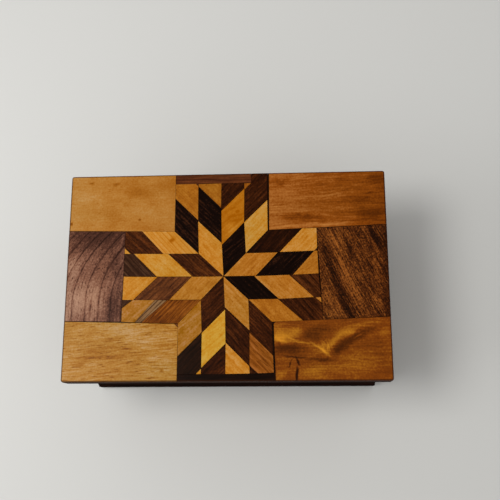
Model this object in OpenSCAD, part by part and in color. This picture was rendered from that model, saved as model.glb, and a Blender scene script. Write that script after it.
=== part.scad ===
// Wooden puzzle box with an eight-point star parquetry lid.
// Millimetres. Origin at the centre of the footprint on the table.
// +X is right along the length, +Y is to the back, +Z is up.
// It is drawn closed and released: every slide and the lid can move.

/* [Box] */
// Length of the lid, left to right
lid_length = 200; // [196:1:230]
// Depth of the lid, front to back
lid_depth = 131; // [128:1:150]
// Height of the closed box
box_height = 92; // [84:1:120]
// Thickness of the lid with its parquetry
lid_thick = 14; // [13:0.5:18]
// Thickness of the parquetry pieces
inlay_thick = 2; // [1:0.25:3]
// Reach of the lid past the walls on each side
lid_overhang = 7; // [6.5:0.5:8]
// Thickness of the four walls
wall_thick = 10; // [9.5:0.5:13]
// Chamfer on the lid's outer edges
lid_chamfer = 0.6; // [0.3:0.1:1]

/* [Base and plinth] */
// Thickness of the thin cover under the base board
cover_thick = 3; // [2:0.5:4]
// Thickness of the base board
base_thick = 10; // [9.5:0.5:14]
// Reach of the plinth past the walls on each side
plinth_reach = 4.5; // [4:0.25:6]
// Gap from the table to the plinth strips
plinth_lift = 0.5; // [0.3:0.1:1]
// Travel of the front plinth strip
front_travel = 3; // [2.5:0.1:3.2]
// Travel of the right plinth strip
right_travel = 38; // [30:1:40]
// Thickness of the lining on the floor of the box
lining_thick = 1; // [0.5:0.25:2]

/* [Bands and keyhole slide] */
// Height of the light bands let into the walls
band_height = 14; // [13:0.5:15]
// Thickness of the light bands
band_thick = 2.6; // [2:0.1:2.8]
// Depth of the keyhole axis below the top of the walls
key_drop = 16.7; // [16.5:0.1:18]
// Travel of the slide in front of the keyhole
slide_travel = 26; // [20:1:30]
// Radius of the round part of the keyhole
keyhole_r = 2.5; // [2:0.1:3]

/* [Lid parquetry] */
// Width of one strip of the star
star_strip = 14.6; // [13.6:0.1:15.2]
// Sideways place of the star's centre
star_x = -1.9; // [-4:0.1:4]
// Front to back place of the star's centre
star_y = -1.4; // [-3:0.1:3]
// Length of the walnut panel at the left end
left_panel = 36; // [30:0.5:42]
// Length of the panel at the right end
right_panel = 42.5; // [36:0.5:46]
// Width of the border strip at the back edge
back_border = 6.5; // [4:0.5:9]
// Width of the border strip at the front edge
front_border = 4.3; // [3:0.1:7]

/* [Hinges] */
// Distance of each hinge from the middle of the box
hinge_offset = 55; // [45:1:60]
// Length of a hinge
hinge_length = 28; // [24:1:34]
// Radius of a hinge's knuckles
knuckle_r = 2; // [1.8:0.1:2.2]
// Radius of a hinge's pin
hinge_pin_r = 0.8; // [0.6:0.05:1]

/* [Lock] */
// Width of the lock's plate
lock_width = 40; // [38:1:48]
// Height of the lock's plate
lock_height = 26; // [26:0.5:30]
// Travel of the lock's bolt
bolt_travel = 4; // [3:0.1:4.2]
// Radius of the pin that the key turns on
key_pin_r = 0.8; // [0.6:0.05:0.9]

/* [Key] */
// Length of the key's shank
key_shank = 24; // [20:0.5:28]
// Radius of the key's shank
key_r = 1.6; // [1.4:0.1:1.8]
// Radius of the key's ring, to the middle of its wire
ring_r = 6; // [5:0.25:6.5]

/* [Hidden] */
$fn = 48;
eps = 0.01;
run = 0.3;                                  // gap round everything that slides
cut = 1;                                    // reach of a cut past a face
root2 = sqrt(2);

wall_l = lid_length - 2 * lid_overhang;     // outside of the walls, X
wall_d = lid_depth - 2 * lid_overhang;      // outside of the walls, Y
wx = wall_l / 2;
wy = wall_d / 2;
in_x = wx - wall_thick;                     // inside faces of the walls
in_y = wy - wall_thick;
rabbet = wall_thick / 2;                    // side walls sit in rabbets this deep
base_z = cover_thick;                       // underside of the base board
floor_z = cover_thick + base_thick;         // top of the base board, foot of the walls
lid_z = box_height - lid_thick;             // underside of the lid
wall_top = lid_z - run;
board_top = box_height - inlay_thick;       // top of the lid's core board
cover_inset = 1.5;                          // cover's edge inside the base board's

// plinth strips and their dovetail ribs
plinth_top = floor_z;
rib_z = base_z + base_thick / 2;
rib_root = 1.5;                             // half height of a rib at the strip
rib_tip = 2.2;                              // half height of a rib at its tip
rib_deep = 4.7;
groove_deep = rib_deep + run;
front_rib = 60;                             // half length of the front strip's rib
rib_start = 4.5;                            // from the front face to the right rail
right_rib_front = -wy + rib_start;
right_rib_back = 16;                        // back end of the right strip's rib

// hook that holds the right strip until the front strip is slid back
hook_in = 10;                               // from the right face to the hook's arm
hook_x = wx - hook_in;                      // left side of the hook's arm
hook_arm = 2;
hook_high = 3;
hook_seat = 2;                              // depth of the hook in the strip
hook_tip = wx - groove_deep - run;          // tip of the hook's head, released
hook_back = 9;                              // from the front face to the hook's back
hook_head_y = -wy + hook_back;
hook_head = 2;                              // thickness of the hook's head

// pocket for the key, closed below by the cover and at the side by the strip
pocket_front = 24.5;                        // from the walls' front face to its middle
pocket_y = -wy + pocket_front;
pocket_w = 18;
pocket_long = 48;
pocket_end = wx - groove_deep - pocket_long;
pocket_high = 8;
pocket_top = base_z + pocket_high;
key_wire = 1.3;
key_space = 3;                              // from the ring to the groove
key_bow_x = wx - groove_deep - key_space - ring_r - key_wire;
key_tip_x = key_bow_x - ring_r - key_shank;
bit_len = 4;
bit_reach = 5.5;
bit_thick = 1.8;
bit_set = 1;                                // bit's distance from the key's tip
key_bore = key_pin_r + 0.1;
key_bore_deep = 7;
collar_r = key_r + 0.2;
key_z = base_z + collar_r;                  // the key lies on the cover
collar_len = 1.5;

// bands
band_z = wall_top - key_drop;               // middle of the bands, keyhole axis
band_under = 0.8;                           // undercut of the front band's edges
slide_seam = -slide_travel / 2;             // joint between the two front bands
groove_y = -wy + band_thick + run;          // floor of the front band's groove
stop_x = in_x - slide_travel - 4;           // stop pin of the slide, closed
stop_r = 1.5;
stop_seat = 1.6;                            // depth of the stop pin in the slide
stop_short = 0.5;                           // stop pin's end inside the wall

// lock, set in the inside face of the front wall
lock_y = -in_y;                             // inside face of the front wall
lock_deep = 5;
lock_plate_t = 1.2;
cap_floor = 0.8;
cap_rim = 1;
cap_w = 30;
cap_h = 23.6;
cap_top = wall_top - lock_plate_t;
cap_y0 = lock_y - lock_deep;
cap_y1 = lock_y - lock_plate_t;
catch_y = lock_y - 2.7;                     // middle plane of the lid's catch
catch_t = 1.6;
catch_x0 = -3;
catch_neck = 2.6;
catch_toe = catch_neck + bolt_travel - 0.2;
catch_drop = 8;
catch_toe_h = 2;
bolt_t = 2.4;
bolt_left = -cap_w / 2 + cap_rim + bolt_travel + 2;
bolt_right = 13;
bolt_arm = 5.5;
bolt_depth = 14.2;                          // from the top of the walls to its foot
bolt_low = wall_top - bolt_depth;
bolt_high = lid_z - catch_drop - 0.6;
bolt_tip_low = lid_z - catch_drop + catch_toe_h + 0.4;
bolt_tip_high = wall_top - lock_plate_t - 1.1;
bolt_tip_x = catch_x0 + catch_neck + bolt_travel + 0.4;
talon_w = 5;
talon_h = 3;
spring_t = 0.4;
spring_w = 2;
keyhole_w = 2.4;
keyhole_drop = 6.4;
lock_screw_x = lock_width / 2 - 2.5;
lock_screw_low = wall_top - lock_height + 3;
lock_screw_high = wall_top - 5;
catch_plate_l = 40;
catch_plate_w = 8;
catch_plate_t = 1.5;
catch_screw_x = 15;

// hinges
knuckle_gap = 0.4;                          // knuckle to the back wall
hinge_y = wy + knuckle_gap + knuckle_r;
hinge_z = lid_z - run / 2;
leaf_t = 1;
leaf_reach = 10.4;                          // from the pin to the leaves' front edge
leaf_front = hinge_y - leaf_reach;
leaf_edge = wy;                             // back edge of the leaves
middle_knuckle = hinge_length / 3;
knuckle_side = 0.3;                         // gap at each side of the lid's knuckle
pin_fit = 0.05;                             // play of the lid's knuckle on its pin
recess_r = knuckle_r + 0.35;                // recess for the knuckles in the lid
hinge_screw_gap = 9;
hinge_screws = [-hinge_screw_gap, 0, hinge_screw_gap];
hinge_screw_in = 4.2;
hinge_screw_y = wy - hinge_screw_in;

// screws
screw_r = 0.9;
screw_head_r = 1.7;
screw_head_h = 0.8;
screw_len = 7;
lock_screw_len = 5.6;
screw_slot = 0.5;
screw_slot_deep = 0.35;

// parquetry
side = star_strip * root2;                  // side of one rhomb, measured along the arm
core = 2 * star_strip;                      // half width of the star's arms
small = 1.5;                                // a corner smaller than this is not cut out
star_left = star_x + lid_length / 2 - left_panel;
star_right = lid_length / 2 - right_panel - star_x;
star_back = lid_depth / 2 - back_border - star_y;
star_front = star_y + lid_depth / 2 - front_border;

// ---------------------------------------------------------------- helpers

// A block between two corners.
module block(a, b) {
  translate(a) cube([b[0] - a[0], b[1] - a[1], b[2] - a[2]]);
}

// A countersunk wood screw, head up with its top at the origin, or its hole.
module screw(len, hole = false) {
  difference() {
    union() {
      translate([0, 0, -screw_head_h]) cylinder(r1 = screw_r, r2 = screw_head_r, h = screw_head_h);
      translate([0, 0, -len]) cylinder(r = screw_r, h = len - screw_head_h);
    }
    if (!hole)
      translate([-screw_head_r - cut, -screw_slot / 2, -screw_slot_deep])
        cube([2 * screw_head_r + 2 * cut, screw_slot, screw_slot_deep + cut]);
  }
}

// Section of a dovetail rib, root at the origin, pointing along +X.
module rib_section(gap, deep, back = cut) {
  polygon([
    [-back, -rib_root - gap], [0, -rib_root - gap], [deep, -rib_tip - gap],
    [deep, rib_tip + gap], [0, rib_root + gap], [-back, rib_root + gap]
  ]);
}

// Rib or groove of the front strip from x0 to x1, root at y.
module front_dovetail(x0, x1, y, gap, deep) {
  translate([x1, y, rib_z]) rotate([0, -90, 0]) rotate([0, 0, 90])
    linear_extrude(height = x1 - x0) rib_section(gap, deep);
}

// Rib or groove of the right strip from y0 to y1, root at x.
module right_dovetail(y0, y1, x, gap, deep, back = cut) {
  translate([x, y1, rib_z]) rotate([90, 0, 0]) mirror([1, 0, 0])
    linear_extrude(height = y1 - y0) rib_section(gap, deep, back);
}

// Moulded section of the plinth: t thick, standing on the x axis, outside at +X.
module plinth_section(t) {
  h = plinth_top - plinth_lift;
  polygon([
    [0, 0], [t - 0.4, 0], [t, 0.4], [t, h - 4.2], [t - 0.7, h - 3.8], [t - 0.9, h - 2.8],
    [t - 1.4, h - 1.6], [t - 2.2, h - 0.6], [t - 3.2, h], [0, h]
  ]);
}

// Section of the front bands about the band's middle line, face at the origin.
module band_section(gap, deep) {
  h = band_height / 2;
  polygon([
    [-cut, -h - gap], [0, -h - gap], [deep, -h - gap - band_under],
    [deep, h + gap + band_under], [0, h + gap], [-cut, h + gap]
  ]);
}

// Front band or its groove from x0 to x1; over keeps the part in front of the wall.
module front_band(x0, x1, gap, deep, over) {
  intersection() {
    translate([x1, -wy, band_z]) rotate([0, -90, 0]) rotate([0, 0, 90])
      linear_extrude(height = x1 - x0) band_section(gap, deep);
    block([x0 - cut, -wy - over, 0], [x1 + cut, 0, box_height]);
  }
}

// Chamfers round the lid's edge at height z, and on its four upright edges.
module lid_edges(z) {
  d = lid_chamfer * root2;
  for (s = [-1, 1]) {
    translate([0, s * lid_depth / 2, z]) rotate([45, 0, 0])
      cube([lid_length + 2 * cut, d, d], center = true);
    translate([s * lid_length / 2, 0, z]) rotate([0, 45, 0])
      cube([d, lid_depth + 2 * cut, d], center = true);
    for (t = [-1, 1])
      translate([s * lid_length / 2, t * lid_depth / 2, lid_z]) rotate([0, 0, 45])
        cube([d, d, 4 * lid_thick], center = true);
  }
}

// Keyhole in the XZ plane about the keyhole axis, cut from y0 to y1.
module keyhole(y0, y1) {
  translate([0, y1, band_z]) rotate([90, 0, 0]) cylinder(r = keyhole_r, h = y1 - y0);
  block([-keyhole_w / 2, y0, band_z - keyhole_drop], [keyhole_w / 2, y1, band_z]);
}

// ---------------------------------------------------------------- base

module base_cover() {
  color("sienna")
    block([-wx + cover_inset, -wy + cover_inset, 0], [wx - cover_inset, wy - cover_inset, base_z]);
}

module base_board() {
  color("saddlebrown") difference() {
    block([-wx, -wy, base_z], [wx, wy, floor_z]);
    front_dovetail(-wx - cut, front_rib + front_travel + run, -wy, run, groove_deep);
    right_dovetail(-wy - cut, right_rib_back + right_travel + run, wx, run, groove_deep);
    hook_pocket();
    key_pocket();
  }
}

// Way for the hook, from the front face to the groove of the right strip.
module hook_pocket() {
  block([hook_x - run, -wy - cut, rib_z - hook_high / 2 - run],
        [wx - groove_deep + eps, hook_head_y + run, rib_z + hook_high / 2 + run]);
}

module key_pocket() {
  block([pocket_end, pocket_y - pocket_w / 2, base_z - cut],
        [wx + cut, pocket_y + pocket_w / 2, pocket_top]);
}

module floor_lining() {
  color("darkred") block([-in_x, -in_y, floor_z], [in_x, in_y, floor_z + lining_thick]);
}

// ---------------------------------------------------------------- walls

module front_wall() {
  color("saddlebrown") difference() {
    long_wall();
    front_band(-wx - cut, slide_seam, 0, band_thick, cut);
    front_band(slide_seam, wx + cut, run, band_thick + run, cut);
    stop_slot();
    lock_mortise();
    keyhole(groove_y - cut, cap_y0 + cut);
  }
}

// The front wall without its cuts; the back wall is its mirror image.
module long_wall() {
  difference() {
    block([-wx, -wy, floor_z], [wx, -in_y, wall_top]);
    for (s = [-1, 1])
      translate([s * (in_x + wall_thick / 2 + cut / 2), -in_y - rabbet / 2 + cut / 2, box_height / 2])
        cube([wall_thick + cut, rabbet + cut, 2 * box_height], center = true);
  }
}

// Slot for the stop pin, right through the wall behind the slide.
module stop_slot() {
  r = stop_r + run;
  for (x = [stop_x, stop_x + slide_travel])
    translate([x, -in_y + cut, band_z]) rotate([90, 0, 0]) cylinder(r = r, h = wall_thick);
  block([stop_x, -in_y + cut - wall_thick, band_z - r],
        [stop_x + slide_travel, -in_y + cut, band_z + r]);
}

module lock_mortise() {
  block([-lock_width / 2, lock_y - lock_plate_t, wall_top - lock_height],
        [lock_width / 2, lock_y + cut, wall_top + cut]);
  block([-lock_width / 2, cap_y0, cap_top], [lock_width / 2, lock_y + cut, wall_top + cut]);
  block([-cap_w / 2, cap_y0, cap_top - cap_h], [cap_w / 2, lock_y, wall_top]);
  lock_screw_places() screw(lock_screw_len, true);
}

module back_wall() {
  color("saddlebrown") difference() {
    mirror([0, 1, 0]) long_wall();
    block([-wx - cut, wy - band_thick, band_z - band_height / 2],
          [wx + cut, wy + cut, band_z + band_height / 2]);
    for (s = [-1, 1]) hinge_mortise(s);
    hinge_screw_places(wall_top) screw(screw_len, true);
  }
}

module hinge_mortise(s) {
  block([s * hinge_offset - hinge_length / 2, leaf_front, wall_top - leaf_t],
        [s * hinge_offset + hinge_length / 2, wy + cut, wall_top + cut]);
}

module side_wall() {
  difference() {
    block([in_x, -in_y - rabbet, floor_z], [wx, in_y + rabbet, wall_top]);
    block([wx - band_thick, -wy, band_z - band_height / 2],
          [wx + cut, wy, band_z + band_height / 2]);
  }
}

module left_wall() {
  color("saddlebrown") mirror([1, 0, 0]) side_wall();
}

module right_wall() {
  color("saddlebrown") side_wall();
}

// ---------------------------------------------------------------- plinth

// A straight length of plinth along X at the front, outside at -Y.
module front_length(x0, x1, y_in) {
  translate([x0, y_in, plinth_lift]) rotate([90, 0, 90]) mirror([1, 0, 0])
    linear_extrude(height = x1 - x0) plinth_section(wy + plinth_reach + y_in);
}

// A straight length of plinth along Y at the right, outside at +X.
module right_length(y0, y1, x_in) {
  translate([x_in, y1, plinth_lift]) rotate([90, 0, 0])
    linear_extrude(height = y1 - y0) plinth_section(wx + plinth_reach - x_in);
}

module plinth_front() {
  color("saddlebrown") difference() {
    union() {
      front_length(-wx - plinth_reach, wx + plinth_reach, -wy - run);
      front_dovetail(-front_rib, front_rib, -wy, 0, rib_deep);
    }
    block([hook_x, -wy - run - hook_seat, rib_z - hook_high / 2],
          [hook_x + hook_arm, -wy + cut, rib_z + hook_high / 2]);
  }
}

module plinth_hook() {
  color("goldenrod") {
    block([hook_x, -wy - run - hook_seat, rib_z - hook_high / 2],
          [hook_x + hook_arm, hook_head_y, rib_z + hook_high / 2]);
    block([hook_x, hook_head_y - hook_head, rib_z - hook_high / 2],
          [hook_tip, hook_head_y, rib_z + hook_high / 2]);
  }
}

module plinth_back() {
  color("saddlebrown") mirror([0, 1, 0]) front_length(-wx - plinth_reach, wx, -wy);
}

module plinth_left() {
  color("saddlebrown") mirror([1, 0, 0]) right_length(-wy, wy, wx);
}

module plinth_right() {
  color("saddlebrown") right_length(-wy, wy + plinth_reach, wx + run);
}

// Two lengths of dovetail rail on the right strip; the hook's head goes between them.
module right_rail() {
  color("peru") {
    right_dovetail(right_rib_front, hook_head_y - hook_head - run, wx, 0, rib_deep, run);
    right_dovetail(hook_head_y + run, right_rib_back, wx, 0, rib_deep, run);
  }
}

// Fills the open end of the front groove and stops the front strip.
module groove_plug() {
  color("peru") intersection() {
    front_dovetail(-wx, -front_rib - run, -wy, run, groove_deep);
    block([-wx, -wy, 0], [0, 0, box_height]);
  }
}

// ---------------------------------------------------------------- key

module key() {
  color("goldenrod") difference() {
    union() {
      translate([key_bow_x, pocket_y, key_z])
        rotate_extrude() translate([ring_r, 0]) circle(r = key_wire);
      translate([key_tip_x, pocket_y, key_z]) rotate([0, 90, 0])
        cylinder(r = key_r, h = key_shank);
      translate([key_bow_x - ring_r - 2 * collar_len, pocket_y, key_z]) rotate([0, 90, 0])
        cylinder(r = collar_r, h = collar_len);
      block([key_tip_x + bit_set, pocket_y, key_z - bit_thick / 2],
            [key_tip_x + bit_set + bit_len, pocket_y + bit_reach, key_z + bit_thick / 2]);
    }
    translate([key_tip_x - cut, pocket_y, key_z]) rotate([0, 90, 0])
      cylinder(r = key_bore, h = key_bore_deep + cut);
    block([key_tip_x + bit_set + bit_len / 2 - 0.4, pocket_y + 3, 0],
          [key_tip_x + bit_set + bit_len / 2 + 0.4, pocket_y + bit_reach + cut, pocket_top]);
  }
}

// ---------------------------------------------------------------- bands

module band_front() {
  color("burlywood") front_band(-wx, slide_seam, 0, band_thick, 0);
}

module keyhole_slide() {
  color("burlywood") difference() {
    front_band(slide_seam + run, wx, 0, band_thick, 0);
    translate([stop_x, 0, band_z]) rotate([90, 0, 0])
      cylinder(r = stop_r, h = wy - band_thick + stop_seat);
  }
}

module slide_stop_pin() {
  color("goldenrod") translate([stop_x, -in_y - stop_short, band_z]) rotate([90, 0, 0])
    cylinder(r = stop_r, h = wall_thick - stop_short - band_thick + stop_seat);
}

module band_back() {
  color("burlywood")
    block([-wx, wy - band_thick, band_z - band_height / 2], [wx, wy, band_z + band_height / 2]);
}

module side_band() {
  block([wx - band_thick, -in_y - rabbet, band_z - band_height / 2],
        [wx, in_y + rabbet, band_z + band_height / 2]);
}

module band_left() {
  color("burlywood") mirror([1, 0, 0]) side_band();
}

module band_right() {
  color("burlywood") side_band();
}

// ---------------------------------------------------------------- lock

module lock_screw_places() {
  for (x = [-lock_screw_x, lock_screw_x]) for (z = [lock_screw_low, lock_screw_high])
    translate([x, lock_y, z]) rotate([-90, 0, 0]) children();
}

module lock_plate() {
  color("goldenrod") difference() {
    union() {
      block([-lock_width / 2, cap_y1, wall_top - lock_height], [lock_width / 2, lock_y, wall_top]);
      block([-lock_width / 2, cap_y0, cap_top], [lock_width / 2, lock_y, wall_top]);
    }
    block([catch_x0 - 0.4, catch_y - catch_t / 2 - 0.7, cap_top - cut],
          [catch_x0 + catch_toe + 0.4, catch_y + catch_t / 2 + 0.35, wall_top + cut]);
    lock_screw_places() screw(lock_screw_len, true);
    translate([0, lock_y - lock_plate_t / 2, band_z]) rotate([90, 0, 0])
      cylinder(r = key_pin_r, h = lock_deep);
  }
}

module lock_cap() {
  color("goldenrod") difference() {
    block([-cap_w / 2, cap_y0, cap_top - cap_h], [cap_w / 2, cap_y1, cap_top]);
    block([-cap_w / 2 + cap_rim, cap_y0 + cap_floor, cap_top - cap_h + cap_rim],
          [cap_w / 2 - cap_rim, cap_y1 + cut, cap_top + cut]);
    keyhole(cap_y0 - cut, cap_y0 + cap_floor + cut);
  }
}

module lock_bolt() {
  y0 = catch_y - bolt_t / 2;
  y1 = catch_y + bolt_t / 2;
  color("silver") difference() {
    union() {
      block([bolt_left, y0, bolt_low], [bolt_right, y1, bolt_high]);
      block([bolt_right - bolt_arm, y0, bolt_low], [bolt_right, y1, bolt_tip_high]);
      block([bolt_tip_x, y0, bolt_tip_low], [bolt_right, y1, bolt_tip_high]);
    }
    block([-talon_w / 2, y0 - cut, bolt_low - cut], [talon_w / 2, y1 + cut, bolt_low + talon_h]);
  }
}

// Flat spring that bears on the bolt's top edge.
module lock_spring() {
  x0 = -cap_w / 2 + cap_rim;
  color("silver") {
    block([x0, catch_y - spring_w / 2, bolt_high + 0.1],
          [x0 + spring_t, catch_y + spring_w / 2, cap_top - 1]);
    block([x0, catch_y - spring_w / 2, bolt_high + 0.1],
          [catch_x0 - 1, catch_y + spring_w / 2, bolt_high + 0.1 + spring_t]);
  }
}

module lock_pin() {
  color("silver") translate([0, lock_y - lock_plate_t / 2, band_z]) rotate([90, 0, 0])
    cylinder(r = key_pin_r, h = lock_deep - lock_plate_t / 2 + 1);
}

module lock_screws() {
  color("goldenrod") lock_screw_places() screw(lock_screw_len);
}

// ---------------------------------------------------------------- lid

module lid_board() {
  color("sienna") difference() {
    block([-lid_length / 2, -lid_depth / 2, lid_z], [lid_length / 2, lid_depth / 2, board_top]);
    lid_edges(lid_z);
    catch_mortise();
    catch_screw_places() screw(screw_len, true);
    for (s = [-1, 1]) {
      block([s * hinge_offset - hinge_length / 2, leaf_front, lid_z - cut],
            [s * hinge_offset + hinge_length / 2, leaf_edge, lid_z + leaf_t]);
      knuckle_recess(s);
    }
    mirror_at_lid() hinge_screw_places(lid_z) screw(screw_len, true);
  }
}

// Turns what lies below the lid's underside up into the lid.
module mirror_at_lid() {
  translate([0, 0, 2 * lid_z]) mirror([0, 0, 1]) children();
}

module knuckle_recess(s) {
  translate([s * hinge_offset - hinge_length / 2 - knuckle_side, hinge_y, hinge_z])
    rotate([0, 90, 0]) cylinder(r = recess_r, h = hinge_length + 2 * knuckle_side);
  block([s * hinge_offset - hinge_length / 2 - knuckle_side, leaf_edge - eps, lid_z - cut],
        [s * hinge_offset + hinge_length / 2 + knuckle_side, hinge_y, lid_z + leaf_t + 0.2]);
}

module catch_mortise() {
  block([-catch_plate_l / 2, catch_y - catch_plate_w / 2, lid_z - cut],
        [catch_plate_l / 2, catch_y + catch_plate_w / 2, lid_z + catch_plate_t]);
}

// A parquetry piece of the lid between two corners.
module panel(a, b) {
  difference() {
    block([a[0], a[1], board_top], [b[0], b[1], box_height]);
    lid_edges(box_height);
  }
}

module panel_back_left() {
  color("peru") panel([-lid_length / 2, star_y + core], [star_x - core, lid_depth / 2]);
}

module panel_back_right() {
  color("peru") panel([star_x + core, star_y + core], [lid_length / 2, lid_depth / 2]);
}

module panel_front_left() {
  color("tan") panel([-lid_length / 2, -lid_depth / 2], [star_x - core, star_y - core]);
}

module panel_front_right() {
  color("goldenrod") panel([star_x + core, -lid_depth / 2], [lid_length / 2, star_y - core]);
}

module panel_left_end() {
  color("saddlebrown")
    panel([-lid_length / 2, star_y - core], [star_x - star_left, star_y + core]);
}

module panel_right_end() {
  color("peru") panel([star_x + star_right, star_y - core], [lid_length / 2, star_y + core]);
}

module border_back() {
  color("maroon") panel([star_x - core, star_y + star_back], [star_x + core, lid_depth / 2]);
}

module border_front() {
  color("black") panel([star_x - core, -lid_depth / 2], [star_x + core, star_y - star_front]);
}

// Pieces of one arm, drawn with the arm along +X and its strips towards +Y.
// Strip j runs beside the axis, ring k counts out from the centre.
// The pieces whose k + j has the given parity are drawn; the arm ends at reach.
module arm_pieces(parity, reach) {
  for (j = [0, 1]) {
    last = floor((reach - j * star_strip - small) / side);
    for (k = [0 : last])
      if ((k + j) % 2 == parity)
        arm_piece(k * side, (k == last) ? 2 * reach : (k + 1) * side, j * star_strip, reach);
  }
}

// One slanted piece from a0 to a1 along the arm, in the strip that starts at b.
module arm_piece(a0, a1, b, reach) {
  c = b + star_strip;
  intersection() {
    translate([0, 0, board_top]) linear_extrude(height = inlay_thick)
      polygon([[a0 + b, b], [a1 + b, b], [a1 + c, c], [a0 + c, c]]);
    block([0, b, board_top], [reach, c, box_height]);
  }
}

// An arm turned by angle, on the left or the right of its axis.
module arm(angle, left, parity, reach) {
  translate([star_x, star_y, 0]) rotate([0, 0, angle]) mirror([0, left ? 0 : 1, 0])
    arm_pieces(parity, reach);
}

module star_up_left_light() { color("gold") arm(90, true, 0, star_back); }
module star_up_left_dark() { color("black") arm(90, true, 1, star_back); }
module star_up_right_light() { color("gold") arm(90, false, 1, star_back); }
module star_up_right_dark() { color("black") arm(90, false, 0, star_back); }
module star_right_upper_light() { color("gold") arm(0, true, 0, star_right); }
module star_right_upper_dark() { color("black") arm(0, true, 1, star_right); }
module star_right_lower_light() { color("gold") arm(0, false, 1, star_right); }
module star_right_lower_dark() { color("black") arm(0, false, 0, star_right); }
module star_down_right_light() { color("gold") arm(270, true, 0, star_front); }
module star_down_right_dark() { color("black") arm(270, true, 1, star_front); }
module star_down_left_light() { color("gold") arm(270, false, 1, star_front); }
module star_down_left_dark() { color("black") arm(270, false, 0, star_front); }
module star_left_lower_light() { color("gold") arm(180, true, 0, star_left); }
module star_left_lower_dark() { color("black") arm(180, true, 1, star_left); }
module star_left_upper_light() { color("gold") arm(180, false, 1, star_left); }
module star_left_upper_dark() { color("black") arm(180, false, 0, star_left); }

// ---------------------------------------------------------------- catch

module lid_catch() {
  x1 = catch_x0 + catch_toe;
  low = lid_z - catch_drop;
  color("goldenrod") difference() {
    union() {
      block([-catch_plate_l / 2, catch_y - catch_plate_w / 2, lid_z],
            [catch_plate_l / 2, catch_y + catch_plate_w / 2, lid_z + catch_plate_t]);
      block([catch_x0, catch_y - catch_t / 2, low],
            [catch_x0 + catch_neck, catch_y + catch_t / 2, lid_z + catch_plate_t]);
      block([catch_x0, catch_y - catch_t / 2, low],
            [x1, catch_y + catch_t / 2, low + catch_toe_h]);
    }
    catch_screw_places() screw(screw_len, true);
  }
}

module catch_screw_places() {
  for (s = [-1, 1]) translate([s * catch_screw_x, catch_y, lid_z]) mirror([0, 0, 1]) children();
}

module catch_screws() {
  color("goldenrod") catch_screw_places() screw(screw_len);
}

// ---------------------------------------------------------------- hinges

// One knuckle from x0 to x1 along the axis of hinge s.
module knuckle(s, x0, x1, bore) {
  translate([s * hinge_offset + x0, hinge_y, hinge_z]) rotate([0, 90, 0]) difference() {
    cylinder(r = knuckle_r, h = x1 - x0);
    translate([0, 0, -cut]) cylinder(r = bore, h = x1 - x0 + 2 * cut);
  }
}

// A leaf with its tab under a knuckle, between two heights; the tab stops at the bore.
module leaf_tab(s, x0, x1, z0) {
  difference() {
    block([s * hinge_offset + x0, leaf_edge - eps, z0], [s * hinge_offset + x1, hinge_y, z0 + leaf_t]);
    translate([s * hinge_offset + x0 - cut, hinge_y, hinge_z]) rotate([0, 90, 0])
      cylinder(r = knuckle_r - 0.3, h = x1 - x0 + 2 * cut);
  }
}

module hinge_leaves_box() {
  h = hinge_length / 2;
  m = middle_knuckle / 2;
  z0 = wall_top - leaf_t;
  color("goldenrod") for (s = [-1, 1]) difference() {
    union() {
      block([s * hinge_offset - h, leaf_front, z0], [s * hinge_offset + h, leaf_edge, wall_top]);
      for (x = [[-h, -m], [m, h]]) {
        leaf_tab(s, x[0], x[1], z0);
        knuckle(s, x[0], x[1], hinge_pin_r);
      }
    }
    hinge_screw_places(wall_top) screw(screw_len, true);
  }
}

module hinge_leaves_lid() {
  h = hinge_length / 2;
  m = middle_knuckle / 2 - knuckle_side;
  color("goldenrod") for (s = [-1, 1]) difference() {
    union() {
      block([s * hinge_offset - h, leaf_front, lid_z], [s * hinge_offset + h, leaf_edge, lid_z + leaf_t]);
      leaf_tab(s, -m, m, lid_z);
      knuckle(s, -m, m, hinge_pin_r + pin_fit);
    }
    mirror_at_lid() hinge_screw_places(lid_z) screw(screw_len, true);
  }
}

module hinge_pins() {
  color("goldenrod") for (s = [-1, 1])
    translate([s * hinge_offset - hinge_length / 2, hinge_y, hinge_z]) rotate([0, 90, 0])
      cylinder(r = hinge_pin_r, h = hinge_length);
}

module hinge_screw_places(z) {
  for (s = [-1, 1]) for (x = hinge_screws)
    translate([s * hinge_offset + x, hinge_screw_y, z]) children();
}

module hinge_screws_box() {
  color("goldenrod") hinge_screw_places(wall_top) screw(screw_len);
}

module hinge_screws_lid() {
  color("goldenrod") mirror_at_lid() hinge_screw_places(lid_z) screw(screw_len);
}

// ---------------------------------------------------------------- parts

base_cover();
base_board();
front_wall();
back_wall();
left_wall();
right_wall();
plinth_front();
plinth_hook();
plinth_back();
plinth_left();
plinth_right();
right_rail();
groove_plug();
floor_lining();
key();
band_front();
keyhole_slide();
slide_stop_pin();
band_back();
band_left();
band_right();
lock_plate();
lock_cap();
lock_bolt();
lock_spring();
lock_pin();
lock_screws();
lid_board();
panel_back_left();
panel_back_right();
panel_front_left();
panel_front_right();
panel_left_end();
panel_right_end();
border_back();
border_front();
star_up_left_light();
star_up_left_dark();
star_up_right_light();
star_up_right_dark();
star_right_upper_light();
star_right_upper_dark();
star_right_lower_light();
star_right_lower_dark();
star_down_right_light();
star_down_right_dark();
star_down_left_light();
star_down_left_dark();
star_left_lower_light();
star_left_lower_dark();
star_left_upper_light();
star_left_upper_dark();
lid_catch();
catch_screws();
hinge_leaves_box();
hinge_leaves_lid();
hinge_pins();
hinge_screws_box();
hinge_screws_lid();
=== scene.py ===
"""Wooden puzzle box with a star parquetry lid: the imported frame, dressed in wood, brass and felt."""

import math
import random

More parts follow.
